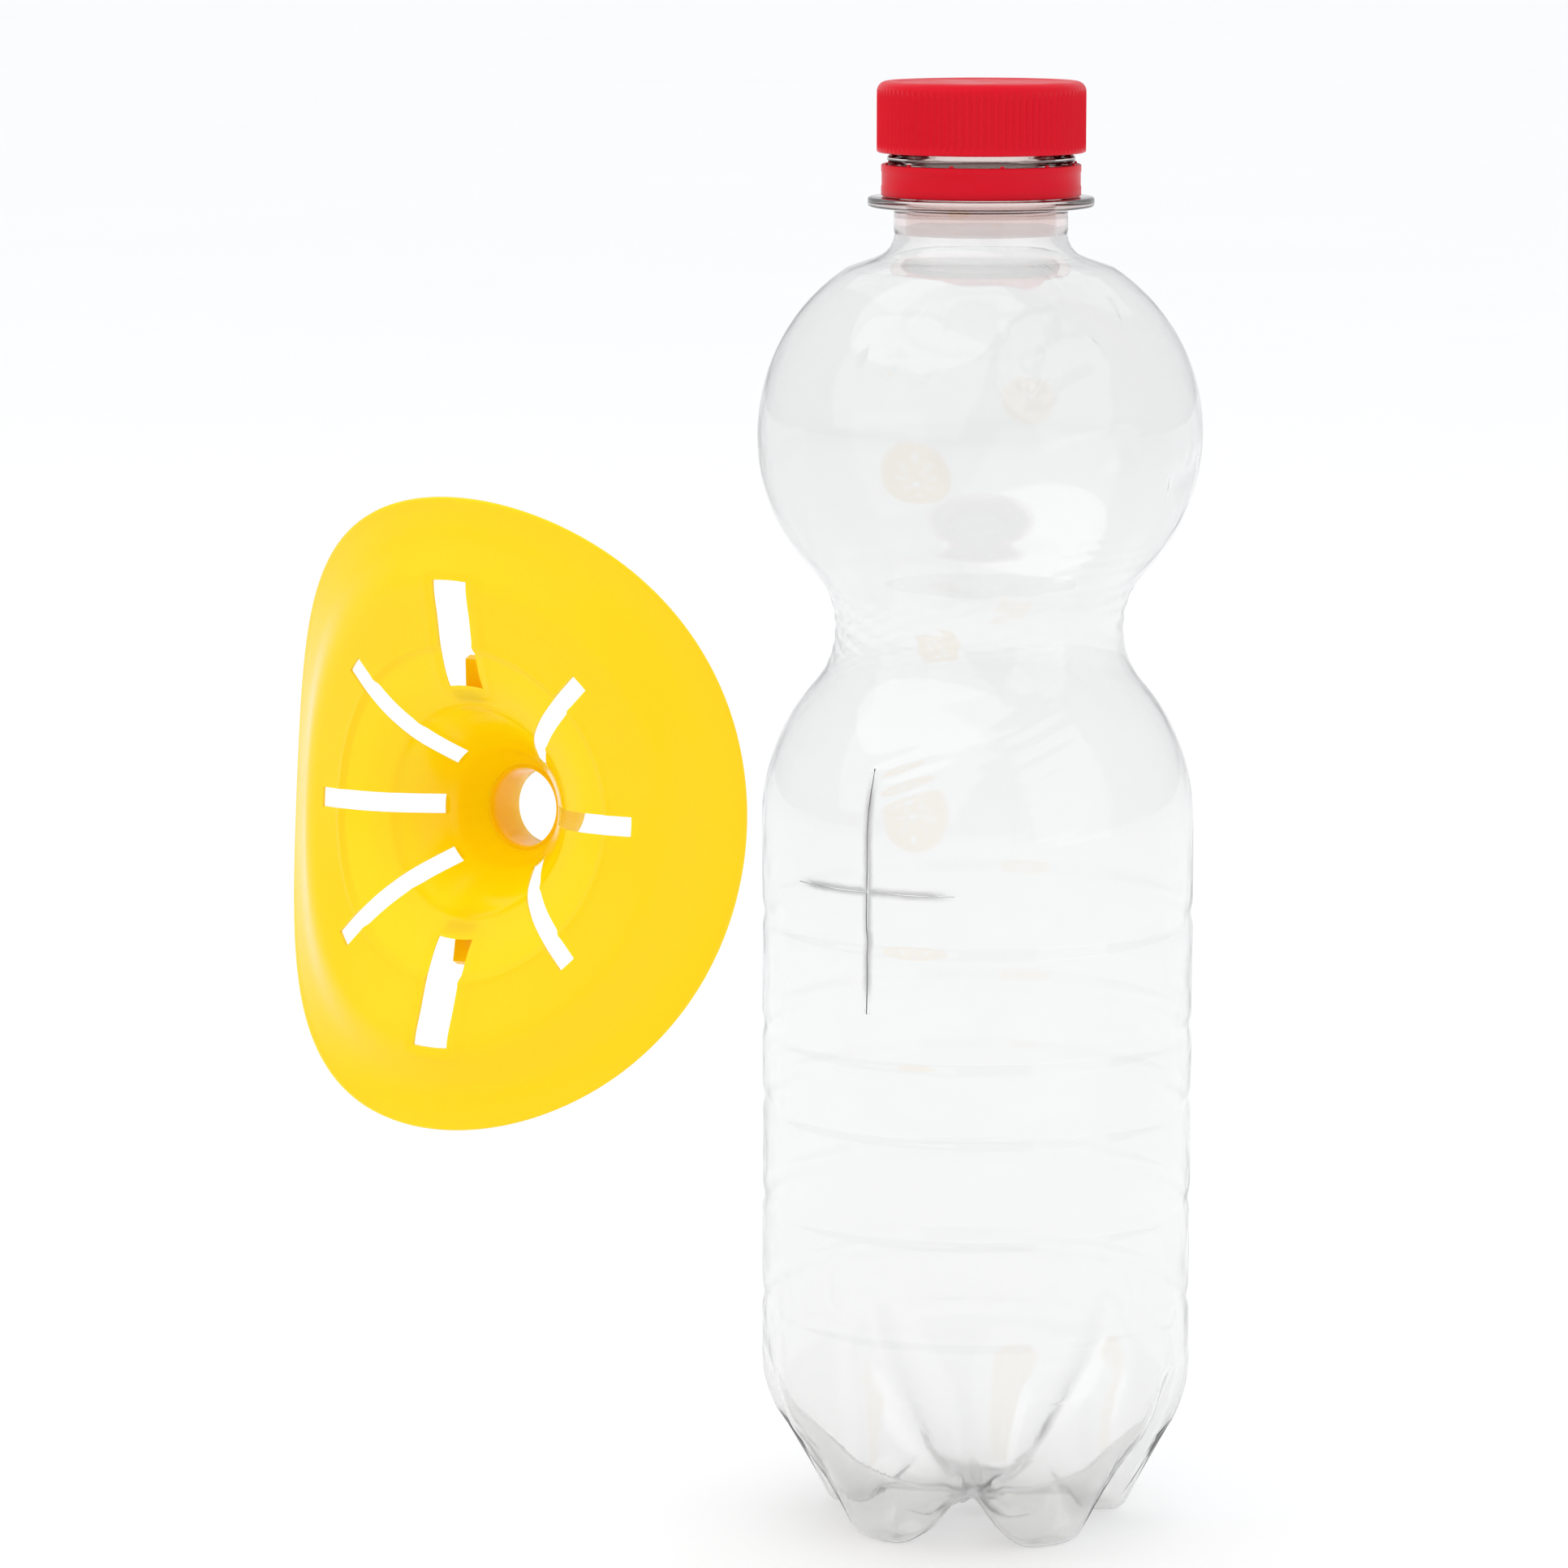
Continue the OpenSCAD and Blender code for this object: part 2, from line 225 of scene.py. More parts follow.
def piece(name, points, faces, body, materials, sharp=32.0, face_slots=None):
    mesh = bpy.data.meshes.new(name)
    mesh.from_pydata((np.asarray(points, float) * MM).tolist(), [], faces)
    mesh.polygons.foreach_set("use_smooth", [True] * len(faces))
    for material in materials:
        mesh.materials.append(material)
    if face_slots is not None:
        mesh.polygons.foreach_set("material_index", face_slots)
    mesh.set_sharp_from_angle(angle=math.radians(sharp))
    made = bpy.data.objects.new(name, mesh)
    bpy.context.scene.collection.objects.link(made)
    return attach(made, body)


def ring_faces(start_a, start_b, count, flip=False):
    """Quads between two rings of count points"""
    faces = []
    for i in range(count):
        j = (i + 1) % count
        quad = (start_a + i, start_a + j, start_b + j, start_b + i)
        faces.append(quad[::-1] if flip else quad)
    return faces


def lathe(outline, columns, shape=None, loop=False):
    """Turns an outline of (radius, height) round +Z. Ends on the axis close to a point. shape may
    change the radius at (angle in degrees, radius, height)."""
    angles = np.arange(columns) * 360 / columns
    points, faces, rings = [], [], []
    for radius, height in outline:
        if radius < 1e-6:
            rings.append((len(points), 1))
            points.append((0, 0, height))
            continue
        radii = shape(angles, radius, height) if shape else np.full(columns, radius)
        rings.append((len(points), columns))
        turns = np.radians(angles)
        points += list(zip(radii * np.cos(turns), radii * np.sin(turns), np.full(columns, height)))
    pairs = list(zip(rings, rings[1:])) + ([(rings[-1], rings[0])] if loop else [])
    for (a, size_a), (b, size_b) in pairs:
        if size_a == 1:
            faces += [(a, b + (i + 1) % columns, b + i) for i in range(columns)]
        elif size_b == 1:
            faces += [(a + i, a + (i + 1) % columns, b) for i in range(columns)]
        else:
            faces += ring_faces(a, b, columns)
    return points, faces


def thread(angle, height, start, turns):
    """How much of a right-hand thread's ridge, 0 to 1, is at an angle in degrees and a height"""
    share = np.zeros(np.broadcast(angle, height).shape)
    for lap in range(math.ceil(turns)):
        turn = angle / 360 + lap
        ends = smooth(0, 0.06, turn) * smooth(turns, turns - 0.06, turn)
        off = np.abs(height - (start + THREAD_PITCH * turn))
        share = np.maximum(share, ends * (1 - smooth(0.25, 0.65, off)))
    return share


# ---------------------------------------------------------------- bottle

_, bottle_high = corners("bottle")
MOUTH_Z = bottle_high[2]
BULGE_R = bottle_high[0]
CUT_CENTRE, _ = mount("cross_cut")
BODY_R = -CUT_CENTRE[1]
CUT_W = 26.0
CUT_H = 34.5
SLIT = 0.32
WAIST_R, WAIST_Z = 21.1, 133.3
BULGE_ARC, WAIST_ARC, LOWER_ARC = 28.6, 12.5, 30.5
PET_WALL = 0.3
NECK_R, BORE_R, ROOT_R = 12.6, 10.87, 12.3
NECK_Z, RING_Z, BEAD_Z = 190.6, 194.5, 200.9
THREAD_PITCH, THREAD_TURNS = 2.7, 1.5
NECK_THREAD_Z, NECK_CREST_R, CAP_CREST_R = 203.4, 13.45, 12.75
BASE_Z, BASE_ARC, FOOT_ARC = 25.0, 22.0, 2.5
PAD_R = (17.6, 20.6)
DOME_R, DOME_Z = 33.1, 36.4
FIRST_FOOT = -11.0
GROOVES = (91.4, 74.7, 63.7, 48.9, 33.9)
GROOVE_W, GROOVE_D = 2.2, 0.32
# The direction that faces the viewer, in degrees from the cut towards +X
FACING = 30.0
# Columns of the wall's mesh: start and end in degrees from the cut, and how many. They lie closer
# together at the front, where the cut and the creases are
STRETCHES = ((-180, -30, 56), (-30, 90, 78), (90, 180, 34))
COLUMN_ANGLES = np.concatenate([np.linspace(*stretch, endpoint=False) for stretch in STRETCHES])
# How far, in degrees, the base's columns shift towards the valleys between the feet
COLUMN_GATHER = 6.9


def blown_outline():
    """Radius and height of the blown part, from the middle of the base up to the neck"""
    bulge_c, waist_c, lower_c = BULGE_R - BULGE_ARC, WAIST_R + WAIST_ARC, BODY_R - LOWER_ARC
    bulge_dz = math.sqrt((BULGE_ARC + WAIST_ARC) ** 2 - (waist_c - bulge_c) ** 2)
    lower_dz = math.sqrt((LOWER_ARC + WAIST_ARC) ** 2 - (waist_c - lower_c) ** 2)
    bulge_turn = math.degrees(math.atan2(bulge_dz, bulge_c - waist_c))
    lower_turn = math.degrees(math.atan2(-lower_dz, lower_c - waist_c)) + 360
    groove_rows = [g + k * 0.62 for g in GROOVES for k in range(-4, 5)]
    plain_rows = np.linspace(BASE_Z + 1, WAIST_Z - lower_dz - 1, 18)
    body = np.unique(np.concatenate([plain_rows, groove_rows]))
    return np.vstack([
        [[r, 2.6] for r in np.linspace(0.8, 14.5, 15)],
        arc(PAD_R[0], FOOT_ARC, FOOT_ARC, -127, -90, 4),
        arc(PAD_R[1], FOOT_ARC, FOOT_ARC, -90, -26.6, 10),
        arc(BODY_R - BASE_ARC, BASE_Z, BASE_ARC, -25, 0, 26),
        np.column_stack([np.full(len(body), BODY_R), body]),
        arc(lower_c, WAIST_Z - lower_dz, LOWER_ARC, 0, lower_turn - 180, 42),
        arc(waist_c, WAIST_Z, WAIST_ARC, lower_turn - 4, bulge_turn + 4, 32),
        arc(bulge_c, WAIST_Z + bulge_dz, BULGE_ARC, bulge_turn - 180, 57, 52),
        [[15.6, 187.0], [14.5, 187.5], [13.9, 187.9], [13.2, 188.7], [12.8, 189.6]],
        [[NECK_R, NECK_Z]],
    ])


OUTLINE = blown_outline()
ALONG = np.concatenate([[0], np.cumsum(np.hypot(*np.diff(OUTLINE, axis=0).T))])
WALL_START = ALONG[np.argmax(OUTLINE[:, 1] >= BASE_Z)]


def along_at(height):
    """Distance along the outline to a height on the wall"""
    wall = ALONG >= WALL_START
    return np.interp(height, OUTLINE[wall, 1], ALONG[wall])


def crease(angle, height, radius, start, end, depth, width):
    """A straight dent or ridge between two places on the wall: (degrees from FACING, height)"""
    place = np.stack([np.radians(angle - FACING) * radius, height], -1)
    a = np.array([math.radians(start[0]) * 29, start[1]])
    b = np.array([math.radians(end[0]) * 29, end[1]])
    scale = np.stack([29 / radius, np.ones_like(radius)], -1)
    place = place * scale
    run = b - a
    t = np.clip(((place - a) @ run) / (run @ run), 0, 1)
    off = np.linalg.norm(place - a - t[..., None] * run, axis=-1)
    return depth * bell(off, width) * (1 - (2 * t - 1) ** 6 * 0.8)


# Dents that handling leaves: start and end as (degrees from FACING, height), depth and width
CREASES = (
    ((5, 179.7), (31, 184.1), 0.83, 2.1),
    ((31, 184.1), (50, 179.6), 0.63, 2.4),
    ((7, 173.6), (15, 171.6), -0.92, 2.1),
    ((15, 171.6), (35, 176.0), -0.83, 2.4),
    ((14, 172.4), (14, 168.0), -0.92, 2.4),
    ((23, 177.4), (37, 176.4), 0.55, 1.8),
    ((10, 178.0), (17, 174.6), -0.55, 2.4),
    ((-35, 175.0), (-23, 173.2), 0.63, 1.6),
    ((-26, 175.0), (-14, 171.8), 0.63, 1.6),
    ((-19, 181.2), (-10, 179.2), 0.55, 1.6),
    ((20, 158.0), (44, 163.0), -0.45, 3.2),
    ((58, 155.5), (80, 158.0), -0.63, 2.1),
)


def wear(angle, height, radius):
    """How far the wall stands out of its true form, in mm"""
    out = np.zeros_like(height)
    for start, end, depth, width in CREASES:
        out += crease(angle, height, radius, start, end, depth, width)
    side = angle - FACING
    # fine slanting wrinkles that ring the waist, deepest at its sides
    waves = np.sin((height * 1.3 + np.radians(side) * radius * 0.34) * 2.0)
    band = bell(height - 135 - 0.03 * side, 5.0)
    out += 0.1 * waves * band * (0.25 + 0.75 * smooth(35, 60, np.abs(side)))
    # short slanting streaks over the body's shoulder, in two patches
    tilted = height - 0.14 * side + 0.4 * np.sin(np.radians(side * 9))
    left = bell(side + 21, 9) * bell(height - 116, 4)
    right = bell(side - 20, 14) * bell(height - 117.5, 6.5)
    out += 0.16 * np.sin(tilted * 2 * math.pi / 2.6) * (left + right)
    # slow unevenness of a blown wall
    slow = np.sin(np.radians(3 * angle + 40)) * np.sin(height / 9)
    slow = slow + np.sin(np.radians(5 * angle)) * np.sin(height / 6 + 2)
    return out + 0.06 * slow * smooth(28, 40, height) * smooth(186, 176, height)


def feet(angle, radius, height):
    """Draws the turned base in towards the dome's centre, into five valleys that narrow upwards"""
    down = height - DOME_Z
    far = np.hypot(radius, down)
    off = np.sin(np.radians(2.5 * ((angle - FIRST_FOOT) % 72))) ** 2
    narrowing = 2.1 + 4.5 * smooth(3, 12, height) + 5 * smooth(12, 23, height)
    foot = 1 - off**narrowing
    drawn = DOME_R + np.maximum(far - DOME_R, 0) * foot
    share = np.where((height < DOME_Z) & (far > DOME_R), drawn / far, 1)
    gate = np.where(radius < 9, 0.1 * bell(radius - 5.2, 0.8) - 0.5 * smooth(4.6, 3.6, radius), 0)
    return radius * share, DOME_Z + down * share + gate


def outer_wall(angle, along):
    """Points on the outside of the blown part"""
    radius = np.interp(along, ALONG, OUTLINE[:, 0])
    height = np.interp(along, ALONG, OUTLINE[:, 1])
    gather = COLUMN_GATHER * np.sin(np.radians(5 * (angle - FIRST_FOOT)))
    angle = angle + gather * smooth(BASE_Z + 5, BASE_Z - 6, height)
    off_groove = [np.clip((height - groove) / GROOVE_W, -1, 1) for groove in GROOVES]
    grooves = sum((1 + np.cos(np.pi * off)) / 2 for off in off_groove)
    on_wall = along >= WALL_START
    radius = radius - np.where(on_wall, GROOVE_D * grooves, 0)
    radius = radius + np.where(on_wall, wear(angle, height, np.maximum(radius, 1)) - 0.12, 0)
    radius, height = feet(angle, radius, height)
    turn = np.radians(angle)
    return np.stack([radius * np.sin(turn), -radius * np.cos(turn), height], -1)


def inner_wall(angle, along, outer):
    """Points on the wall's inside, which is thicker at the gate and at the neck, and normals"""
    # about one cell of the mesh each way, so that the normals hold no relief finer than the mesh
    step_a, step_s = 1.2, 0.5
    round_way = outer_wall(angle + step_a, along) - outer_wall(angle - step_a, along)
    up_way = outer_wall(angle, along + step_s) - outer_wall(angle, along - step_s)
    normal = np.cross(round_way, up_way)
    normal /= np.linalg.norm(normal, axis=-1, keepdims=True)
    radius = np.hypot(outer[:, 0], outer[:, 1])
    at_gate = np.where(along < WALL_START, 0.5 * smooth(9, 3, radius), 0)
    at_neck = (NECK_R - BORE_R - PET_WALL) * smooth(186, NECK_Z, outer[:, 2])
    thick = PET_WALL + at_gate + at_neck
    return outer - normal * thick[:, None], normal


def wall_sheet():
    """The blown wall as a flat mesh of (angle, distance along the outline), cut along the cross
    and its bend lines. Returns its points, its faces, the name of the part that each face is in
    and which points lie on a bend line."""
    middle = along_at(CUT_CENTRE[2])
    top = along_at(CUT_CENTRE[2] + CUT_H / 2) - middle
    reach = math.degrees(math.asin(CUT_W / 2 / BODY_R))
    rows = ALONG.copy()
    rows[np.argmin(np.abs(rows - middle))] = middle
    angles = COLUMN_ANGLES
    flat = bmesh.new()
    grid = [[flat.verts.new((a, s, 0)) for a in angles] for s in rows]
    for low, high in zip(grid, grid[1:]):
        for i in range(len(angles)):
            j = (i + 1) % len(angles)
            flat.faces.new((low[i], low[j], high[j], high[i]))

    def centre(face):
        places = np.array([v.co[:2] for v in face.verts])
        angle, along = places.mean(axis=0)
        return (180 if np.ptp(places[:, 0]) > 180 else angle), along

    def cut(through, direction, chosen):
        near = [f for f in flat.faces if chosen(*centre(f))]
        edges = {e for f in near for e in f.edges}
        verts = {v for f in near for v in f.verts}
        parts = near + list(edges) + list(verts)
        place, normal = (*through, 0), (-direction[1], direction[0], 0)
        bmesh.ops.bisect_plane(flat, geom=parts, dist=1e-5, plane_co=place, plane_no=normal)

    flat.faces.ensure_lookup_table()
    for side in (-1, 1):
        for up in (-1, 1):
            def quarter(a, s):
                return 0 < a * side < reach + 4 and 0 < (s - middle) * up < top + 4
            cut((side * reach, middle), (-side * reach, up * top), quarter)
    half_a = math.degrees(SLIT / 2 / BODY_R)
    half_s = SLIT / 2

    def boxed(a, s):
        return abs(a) < reach + 1 and abs(s - middle) < top + 1
    for side in (-1, 1):
        cut((side * half_a, middle), (0, 1), lambda a, s: boxed(a, s) and abs(a) < 2)
        cut((0, middle + side * half_s), (1, 0), lambda a, s: boxed(a, s) and abs(s - middle) < 2)

    flat.verts.index_update()
    points = np.array([v.co[:2] for v in flat.verts])
    faces = [[v.index for v in f.verts] for f in flat.faces]
    names = []
    for f in flat.faces:
        a, s = centre(f)
        s -= middle
        if abs(a) / reach + abs(s) / top > 1:
            names.append("bottle")
        elif abs(a) < half_a or abs(s) < half_s:
            names.append("slit")
        else:
            names.append(f"flap_{'upper' if s > 0 else 'lower'}_{'right' if a > 0 else 'left'}")
    flat.free()
    # a knife's cut narrows to nothing at its ends and wanders a little
    for axis, half, length in ((0, half_a, top), (1, half_s, reach)):
        place = points[:, axis] - (middle if axis else 0)
        other = points[:, 1 - axis] - (0 if axis else middle)
        edge = (np.abs(np.abs(place) - half) < 1e-4) & (np.abs(other) <= length + 1e-3)
        share = np.clip(1 - np.abs(other) / length, 0, 1) ** 0.5
        wander = 0.5 * half * np.sin(other / length * 7 + axis) * share
        shift = place * (0.15 + 0.85 * share) + wander - place
        points[edge, axis] += shift[edge]
    share = np.abs(points[:, 0]) / reach + np.abs(points[:, 1] - middle) / top
    return points, faces, names, np.abs(share - 1) < 0.012


def neck_outline():
    """Outside of the neck, its ring, bead and thread, over the lip and down the bore"""
    threads = np.arange(202.5, MOUTH_Z - 0.45, 0.2)
    return np.vstack([
        [[NECK_R, 191.2], [NECK_R, 192.6], [NECK_R, 193.9]],
        [[NECK_R + 0.15, 194.3], [NECK_R + 0.6, RING_Z], [14.5, RING_Z]],
        arc(16.0, RING_Z + 0.4, 0.4, -90, 0, 4),
        arc(16.0, RING_Z + 1.0, 0.4, 0, 90, 4),
        [[14.0, 195.9], [12.7, 195.95], [ROOT_R, 196.3], [ROOT_R, 198.2], [ROOT_R, 200.2]],
        [[ROOT_R + 0.2, 200.55], [13.3, BEAD_Z + 0.05], [13.6, BEAD_Z + 0.35]],
        [[13.6, BEAD_Z + 0.7], [13.3, BEAD_Z + 1.0], [ROOT_R + 0.2, BEAD_Z + 1.35]],
        np.column_stack([np.full(len(threads), ROOT_R), threads]),
        arc(ROOT_R - 0.4, MOUTH_Z - 0.4, 0.4, 0, 90, 4),
        arc(BORE_R + 0.3, MOUTH_Z - 0.3, 0.3, 90, 180, 3),
        [[BORE_R, z] for z in np.linspace(207.5, 192, 9)],
    ])


def wall_piece(name, sheet, materials, neck=False):
    """Builds the outside and inside of one part of the wall and closes its cut edges"""
    points, faces, names, on_bend = sheet
    own = [f for f, n in zip(faces, names) if n == name]
    used = sorted({v for f in own for v in f})
    index = {v: i for i, v in enumerate(used)}
    angle, along = points[used].T
    outer = outer_wall(angle, along)
    inner, normal = inner_wall(angle, along, outer)
    shift = len(used)
    # Each quad starts at a corner whose diagonal follows the relief, which both sheets share
    solid = []
    for f in own:
        loop = [index[v] for v in f]
        if len(loop) == 4:
            a, b, c, d = normal[loop]
            if a @ c < b @ d:
                loop = loop[1:] + loop[:1]
        solid.append(tuple(loop))
    slots = [0] * len(solid)
    directed = {(f[i], f[(i + 1) % len(f)]) for f in solid for i in range(len(f))}
    solid += [tuple(v + shift for v in f[:1] + f[:0:-1]) for f in solid]
    slots += [0] * len(slots)
    sheet_faces = len(solid)
    at_neck, at_middle = along > ALONG[-1] - 1e-3, along < ALONG[0] + 1e-3
    bends = on_bend[used]
    for a, b in sorted(directed):
        if (b, a) in directed:
            continue
        if (at_neck[a] and at_neck[b]) or (at_middle[a] and at_middle[b]):
            continue
        solid.append((b, a, a + shift, b + shift))
        slots.append(1 if bends[a] and bends[b] else 0)
    verts = [outer, inner]
    if neck:
        rings, total = [], 2 * shift
        order = np.argsort(angle, kind="stable")
        top_ring = [int(a) for a in order if at_neck[a]]
        turns = angle[top_ring]
        for radius, height in neck_outline():
            on_thread = 202.3 < height < MOUTH_Z - 0.3 and radius == ROOT_R
            ridge = 0
            if on_thread:
                ridge = thread((turns - 90) % 360, height, NECK_THREAD_Z, THREAD_TURNS)
            wide = radius + (NECK_CREST_R - ROOT_R) * ridge + 0 * turns
            sin, cos = np.sin(np.radians(turns)), np.cos(np.radians(turns))
            verts.append(np.stack([wide * sin, -wide * cos, np.full(len(turns), height)], -1))
            rings.append(list(range(total, total + len(turns))))
            total += len(turns)
        rings = [top_ring] + rings + [[a + shift for a in top_ring]]
        for low, high in zip(rings, rings[1:]):
            for i in range(len(turns)):
                j = (i + 1) % len(turns)
                solid.append((low[i], low[j], high[j], high[i]))
                slots.append(0)
        for offset, flip in ((0, False), (shift, True)):
            around = [int(a) + offset for a in order if at_middle[a]]
            middle = (outer, inner)[offset > 0][[a - offset for a in around]].mean(axis=0)
            verts.append(middle[None])
            for i in range(len(around)):
                fan = (around[i], around[(i + 1) % len(around)], total)
                solid.append(fan if flip else fan[::-1])
                slots.append(0)
            total += 1
    made = piece(name + "_wall", np.vstack(verts), solid, name, materials, 38, slots)
    made.visible_shadow = False
    # the parts' normals meet over the bend lines, so that the lines don't show
    normals = np.vstack([normal, -normal])
    own_normals = [normals[v] for f in solid[:sheet_faces] for v in f]
    own_normals += [(0, 0, 0) for f in solid[sheet_faces:] for _ in f]
    made.data.normals_split_custom_set(own_normals)
    return made


def bottle():
    pet = clear_pet()
    sheet = wall_sheet()
    for name in sorted(set(sheet[2]) - {"slit"}):
        made = wall_piece(name, sheet, [pet, bend_line_look], neck=name == "bottle")
        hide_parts(name)


# ---------------------------------------------------------------- cap, liner and band

CAP_WALL_R, CAP_TOP = 13.85, 1.5
RIBS = 90
BRIDGES, BRIDGE_R = 12, 13.95


def cap():
    low, high = corners("cap")
    outer_r, bottom, top = high[0], low[2], high[2]
    inside = np.arange(bottom + 0.6, top - CAP_TOP - 0.3, 0.25)[::-1]
    low_side = [bottom + 0.25, bottom + 0.5, bottom + 0.8]
    side = np.concatenate([low_side, np.linspace(bottom + 1.2, top - 2.1, 12)])
    outline = np.vstack([
        [[0, top - CAP_TOP], [6, top - CAP_TOP], [12.9, top - CAP_TOP]],
        [[13.6, top - CAP_TOP - 0.1]],
        np.column_stack([np.full(len(inside), CAP_WALL_R), inside]),
        [[CAP_WALL_R + 0.15, bottom + 0.15], [CAP_WALL_R + 0.35, bottom]],
        [[outer_r - 0.25, bottom], [outer_r - 0.05, bottom + 0.1]],
        np.column_stack([np.full(len(side), outer_r), side]),
        arc(outer_r - 1.5, top - 1.5, 1.5, 0, 84, 10)[1:],
        [[12.4, top - 0.02], [12.0, top - 0.14]],
        [[8, top - 0.16], [3, top - 0.16], [0, top - 0.16]],
    ])

    def shape(angle, radius, height):
        wide = np.full(len(angle), radius)
        if radius == CAP_WALL_R:
            ridge = thread(angle, height, NECK_THREAD_Z + THREAD_PITCH / 2, THREAD_TURNS)
            return wide - (CAP_WALL_R - CAP_CREST_R) * ridge
        if radius > outer_r - 0.8 and height > bottom + 0.2:
            wave = 0.5 - 0.5 * np.cos(np.radians(angle * RIBS))
            rise = smooth(bottom + 0.3, bottom + 1.1, height)
            fall = smooth(top - 0.7, top - 2.2, height)
            return wide - 0.3 * wave**0.7 * (rise * fall)
        return wide

    points, faces = lathe(outline, RIBS * 6, shape)
    made = piece("cap_shell", points, [f[::-1] for f in faces], "cap", [red], 45)
    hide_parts("cap")


def cap_liner():
    low, high = corners("cap_liner")
    radius, bottom, top = high[0], low[2], high[2]
    outline = [
        (0, bottom), (9.6, bottom), (9.9, bottom + 0.12), (11.9, bottom + 0.12), (12.2, bottom),
        (radius - 0.2, bottom), (radius, bottom + 0.2),
        (radius, top - 0.1), (radius - 0.1, top), (0, top),
    ]
    points, faces = lathe(outline, 128)
    made = piece("cap_liner_disc", points, faces, "cap_liner", [liner_look], 45)
    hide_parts("cap_liner")


def tamper_band():
    low, high = corners("tamper_band")
    outer_r, bottom, top = high[0], low[2], high[2]
    outline = np.vstack([
        [[13.1, bottom + 0.9], [13.45, bottom + 0.05]],
        arc(outer_r - 0.3, bottom + 0.3, 0.3, -90, 0, 4),
        [[outer_r, bottom + 1.4], [outer_r - 0.08, bottom + 1.6]],
        [[outer_r - 0.08, top - 1.2], [outer_r, top - 1.0]],
        arc(outer_r - 0.22, top - 0.22, 0.22, 0, 90, 4),
        [[13.6, top], [13.5, top - 0.1], [13.5, bottom + 1.6]],
    ])
    points, faces = lathe(outline, 240, loop=True)
    points = np.array(points)
    # stubs of the thin bridges that joined the band to the cap
    for i in range(BRIDGES):
        turn = math.radians(360 / BRIDGES * (i + 0.4))
        way = np.array([math.cos(turn), math.sin(turn), 0])
        side = np.array([-math.sin(turn), math.cos(turn), 0])
        start = len(points)
        stub = [
            way * (BRIDGE_R + r * 0.2 * grow) + side * (s * 0.4 * grow) + np.array([0, 0, z])
            for z, grow in ((top - 0.2, 1), (top + 0.28, 0.55))
            for r, s in ((-1, -1), (1, -1), (1, 1), (-1, 1))
        ]
        points = np.vstack([points, stub])
        stub_faces = [(3, 2, 1, 0), (4, 5, 6, 7)]
        stub_faces += [(k, (k + 1) % 4, 4 + (k + 1) % 4, 4 + k) for k in range(4)]
        faces += [tuple(start + v for v in f) for f in stub_faces]
    made = piece("tamper_band_ring", points, faces, "tamper_band", [red], 50)
    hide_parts("tamper_band")


# ---------------------------------------------------------------- funnel

RIM_R = 40.2
BEND_R = 44.5
FUNNEL_WALL = 0.8
HOLE_R = 4.8
NOSE_LEN = 25.9
NOSE_FROM_ENTRANCE = 22.5
# the dish from the nose out to the rim: radius and depth behind the crest
DISH = np.array([
    (5.1, 19.4), (8.2, 14.1), (12.3, 7.9), (16.2, 4.5), (20.5, 2.4),
    (24.7, 1.2), (29.7, 0), (34.9, 0.95), (RIM_R, 0.55),
])
# narrow slots and the wide ones over and under the nose: inner end, outer end, width
NARROW, WIDE = (8.9, 25.2, 2.5), (16.2, 29.7, 5.2)
STEPS = ((20.9, 0.42), (13.3, 0.3), (7.2, 0.12))
STRIP, FIELD = 4, 26
# The front lies this far behind the crest, to leave room for its raised ridges
CREST_INSET = 0.3


def slot_of(sector):
    return WIDE if sector % 4 == 2 else NARROW


def dish_depth(radius):
    """Depth behind the crest on a smooth curve through DISH"""
    r, d = DISH.T
    slope = np.gradient(d, r)
    slope[(d == d.min())] = 0
    i = np.clip(np.searchsorted(r, radius) - 1, 0, len(r) - 2)
    run = r[i + 1] - r[i]
    t = (radius - r[i]) / run
    return (
        (2 * t**3 - 3 * t**2 + 1) * d[i] + (t**3 - 2 * t**2 + t) * run * slope[i]
        + (-2 * t**3 + 3 * t**2) * d[i + 1] + (t**3 - t**2) * run * slope[i + 1]
    )


def column_angles(radius):
    """The angles of one row's points: a strip across each slot, then the field to the next slot"""
    angles = []
    for sector in range(8):
        here, there = slot_of(sector), slot_of((sector + 1) % 8)
        half = math.degrees(math.asin(here[2] / 2 / max(radius, here[0])))
        next_half = math.degrees(math.asin(there[2] / 2 / max(radius, there[0])))
        start, end = 45 * sector + half, 45 * (sector + 1) - next_half
        angles += [45 * sector + half * (2 * k / STRIP - 1) for k in range(STRIP)]
        shares = [0.5 - 0.5 * math.cos(math.pi * k / FIELD) for k in range(FIELD)]
        angles += [start + (end - start) * share for share in shares]
    return np.array(angles)


def funnel_relief(radius, angle):
    """How far the front stands towards the viewer: ring steps and ridges round the wide slots"""
    out = np.zeros_like(angle)
    for step_r, drop in STEPS:
        out -= drop * smooth(step_r + 0.35, step_r - 0.35, radius)
        out += 0.18 * bell(radius - step_r - 0.6, 0.35)
    for centre in (90, 270):
        off = np.radians((angle - centre + 180) % 360 - 180)
        across, along = np.abs(radius * np.sin(off)), radius * np.cos(off)
        beyond = np.maximum(np.maximum(WIDE[0] - along, along - WIDE[1]), 0)
        aside = np.maximum(across - WIDE[2] / 2, 0)
        distance = np.where(np.abs(off) < 1, np.hypot(aside, beyond), 9)
        out += 0.22 * bell(distance - 1.15, 0.38)
    return out


